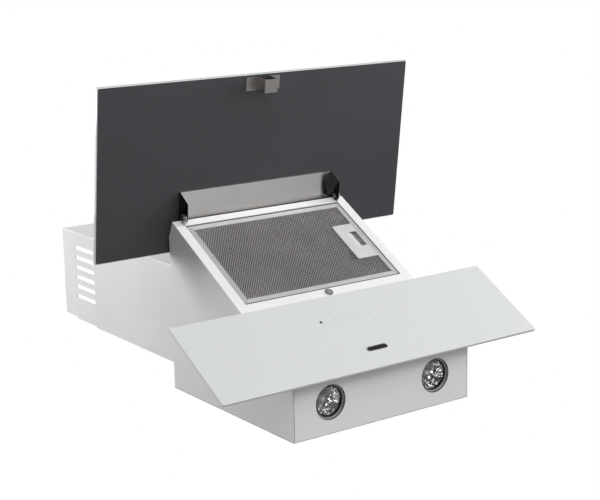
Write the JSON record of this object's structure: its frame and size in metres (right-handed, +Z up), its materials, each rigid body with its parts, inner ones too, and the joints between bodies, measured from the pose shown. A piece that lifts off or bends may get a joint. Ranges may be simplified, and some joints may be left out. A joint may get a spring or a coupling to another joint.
{
  "type": "angled range hood",
  "caption": "Angled wall-mounted range hood: a wedge body with a hinged glass panel over a grease filter, a fixed touch panel, spot lamps, a blower and a telescopic duct chimney.",
  "frame": {"origin": "on the wall plane, midway between the two hanging slots", "axes": "+X to the right as seen from the room, +Z up, +Y into the wall"},
  "size_m": [0.596, 0.4996, 0.8713],
  "materials": {
    "white_paint": "smooth satin powder coat",
    "white_glass": "back-painted white glass, glossy",
    "backing": "dark coated sheet, matte",
    "stainless": "brushed",
    "galvanised": "galvanised sheet",
    "aluminium": "satin",
    "mesh": "expanded mesh",
    "handle_grey": "fine matte",
    "magnet": "sintered, dull",
    "screw": "zinc plated",
    "bezel": "polished",
    "rubber": "matte",
    "clear_glass": "clear",
    "reflector": "faceted mirror",
    "ceramic": "glazed ceramic",
    "black_plastic": "fine matte",
    "grey_plastic": "fine matte",
    "board": "solder mask",
    "motor": "painted",
    "shaft": "ground",
    "capacitor": "gloss"
  },
  "bodies": {
    "hood": {"back_plate": "galvanised", "body_side_left": "white_paint", "body_side_right": "white_paint", "cable_gland": "black_plastic", "capacitor": "capacitor", "capacitor_clip": "galvanised", "chimney_outer": "white_paint", "chimney_tabs": "galvanised", "collar_screws": "screw", "control_box": "grey_plastic", "control_lid": "grey_plastic", "duct_collar": "black_plastic", "front_frame": "white_paint", "gland_nut": "black_plastic", "hinge_lugs": "galvanised", "lamp_bezel_left": "bezel", "lamp_bezel_right": "bezel", "lamp_capsules": "clear_glass", "lamp_lens_left": "clear_glass", "lamp_lens_right": "clear_glass", "lamp_plate": "white_paint", "lamp_reflector_left": "reflector", "lamp_reflector_right": "reflector", "lamp_seal_left": "rubber", "lamp_seal_right": "rubber", "lamp_socket_left": "ceramic", "lamp_socket_right": "ceramic", "lower_carrier": "backing", "lower_glass": "white_glass", "magnet": "magnet", "magnet_holder": "screw", "motor": "motor", "motor_bracket": "galvanised", "motor_screws": "screw", "nose_plate": "white_paint", "pivot_nuts": "screw", "pivot_screws": "screw", "roof_plate": "white_paint", "roof_strip": "white_paint", "scroll_cover": "galvanised", "scroll_housing": "galvanised", "touch_board": "board", "touch_housing": "black_plastic"},
    "panel": {"upper_backing": "backing", "upper_glass": "white_glass", "hinge_bracket": "stainless", "latch_bracket": "stainless"},
    "filter": {"filter_frame": "aluminium", "filter_handle": "handle_grey", "filter_mesh_front": "mesh", "filter_mesh_layers": "mesh", "filter_mesh_back": "mesh"},
    "latch": {"filter_latch": "handle_grey"},
    "fan_wheel": {"impeller_disc": "galvanised", "impeller_blades": "galvanised", "impeller_rings": "galvanised", "motor_shaft": "shaft"},
    "front_flap": {"flap_front": "grey_plastic"},
    "rear_flap": {"flap_rear": "grey_plastic"},
    "chimney_top": {"chimney_inner": "white_paint"}
  },
  "joints": [
    {"name": "panel_hinge", "type": "hinge", "parent": "hood", "child": "panel", "pos_m": [0, -0.28042, 0.01639], "axis": [-1, 0, 0], "range_deg": [-112.2, 0]},
    {"name": "filter_swing", "type": "hinge", "parent": "hood", "child": "filter", "pos_m": [-0.1516, -0.22016, -0.06812], "axis": [0, 0.4944, -0.8692], "range_deg": [0, 35]},
    {"name": "filter_latch_slide", "type": "slide", "parent": "filter", "child": "latch", "axis": [-1, 0, 0], "range_m": [0, 0.005], "stiffness_N_per_m": 400, "springref_m": -0.002},
    {"name": "impeller_spin", "type": "hinge", "parent": "hood", "child": "fan_wheel", "pos_m": [-0.059, -0.086, -0.107], "axis": [0, 1, 0], "continuous": true},
    {"name": "flap_front", "type": "hinge", "parent": "hood", "child": "front_flap", "pos_m": [0, -0.0902, 0.047], "axis": [-1, 0, 0], "range_deg": [0, 78]},
    {"name": "flap_rear", "type": "hinge", "parent": "hood", "child": "rear_flap", "pos_m": [0, -0.0818, 0.047], "axis": [1, 0, 0], "range_deg": [0, 78]},
    {"name": "chimney_slide", "type": "slide", "parent": "hood", "child": "chimney_top", "axis": [0, 0, 1], "range_m": [-0.1, 0.226]}
  ]
}
